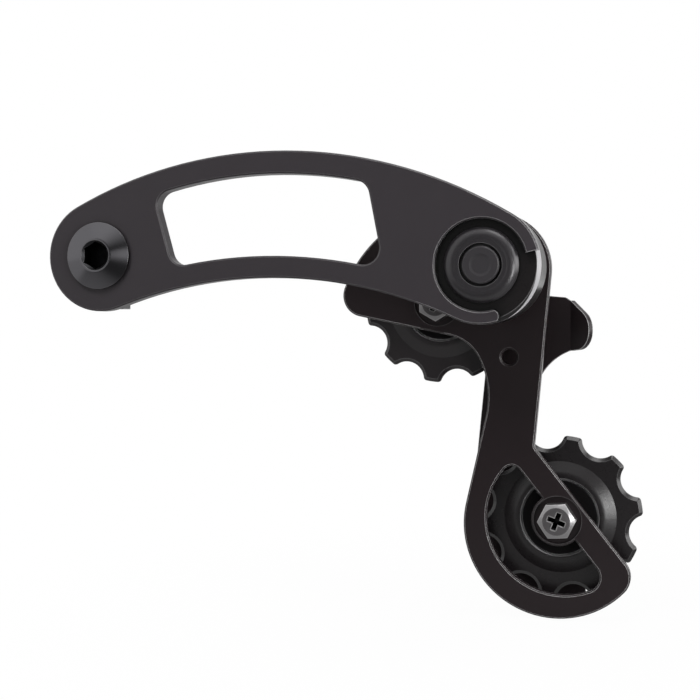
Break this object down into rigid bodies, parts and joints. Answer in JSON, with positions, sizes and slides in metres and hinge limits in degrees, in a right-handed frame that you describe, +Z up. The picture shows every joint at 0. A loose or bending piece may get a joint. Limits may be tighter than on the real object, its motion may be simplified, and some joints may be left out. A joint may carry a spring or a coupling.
{
  "type": "bicycle chain tensioner",
  "caption": "Black single-speed chain tensioner: an arched windowed arm with a hanger bolt, and a sprung cage with a toothed guide pulley and tension pulley.",
  "frame": {"origin": "on the hanger bolt's axis, in the plane where the bolt's shoulder meets the frame's hanger", "axes": "+X along the arm towards the cage pivot, +Y along the hanger bolt towards the wheel, +Z up"},
  "size_m": [0.1419, 0.0381, 0.1113],
  "materials": {
    "arm_black": "matte black anodised",
    "plate_black": "satin black",
    "bolt_black": "satin black",
    "bush_black": "satin black",
    "pulley_black": "satin",
    "cap_black": "satin",
    "screw_steel": "zinc plated",
    "steel": "plain"
  },
  "bodies": {
    "arm": {"arm": "arm_black", "stop_washer": "steel", "pivot_bush": "bush_black", "torsion_spring": "steel"},
    "hanger_bolt": {"hanger_bolt": "bolt_black", "hanger_circlip": "steel"},
    "cage": {"cage_outer_plate": "plate_black", "cage_inner_plate": "plate_black", "pivot_axle": "bolt_black", "retaining_clip": "steel", "spring_cup": "arm_black", "stop_pin": "steel", "guide_bush": "steel", "guide_cap_outer": "cap_black", "guide_cap_inner": "cap_black", "guide_screw": "screw_steel", "tension_bush": "steel", "tension_cap_outer": "cap_black", "tension_cap_inner": "cap_black", "tension_screw": "screw_steel"},
    "guide_pulley": {"guide_pulley": "pulley_black"},
    "tension_pulley": {"tension_pulley": "pulley_black"}
  },
  "joints": [
    {"name": "hanger_bolt_spin", "type": "hinge", "parent": "arm", "child": "hanger_bolt", "pos_m": [0, 0, 0], "axis": [0, 1, 0], "continuous": true},
    {"name": "cage_swing", "type": "hinge", "parent": "arm", "child": "cage", "pos_m": [0.0936, 0, -0.0034], "axis": [0, -1, 0], "range_deg": [0, 100], "stiffness_Nm_per_rad": 0.15, "springref_deg": -85.94, "deforming": ["torsion_spring"]},
    {"name": "guide_pulley_spin", "type": "hinge", "parent": "cage", "child": "guide_pulley", "pos_m": [0.0796, 0.0222, -0.0114], "axis": [0, 1, 0], "continuous": true},
    {"name": "tension_pulley_spin", "type": "hinge", "parent": "cage", "child": "tension_pulley", "pos_m": [0.1088, 0.0222, -0.0635], "axis": [0, 1, 0], "continuous": true}
  ]
}
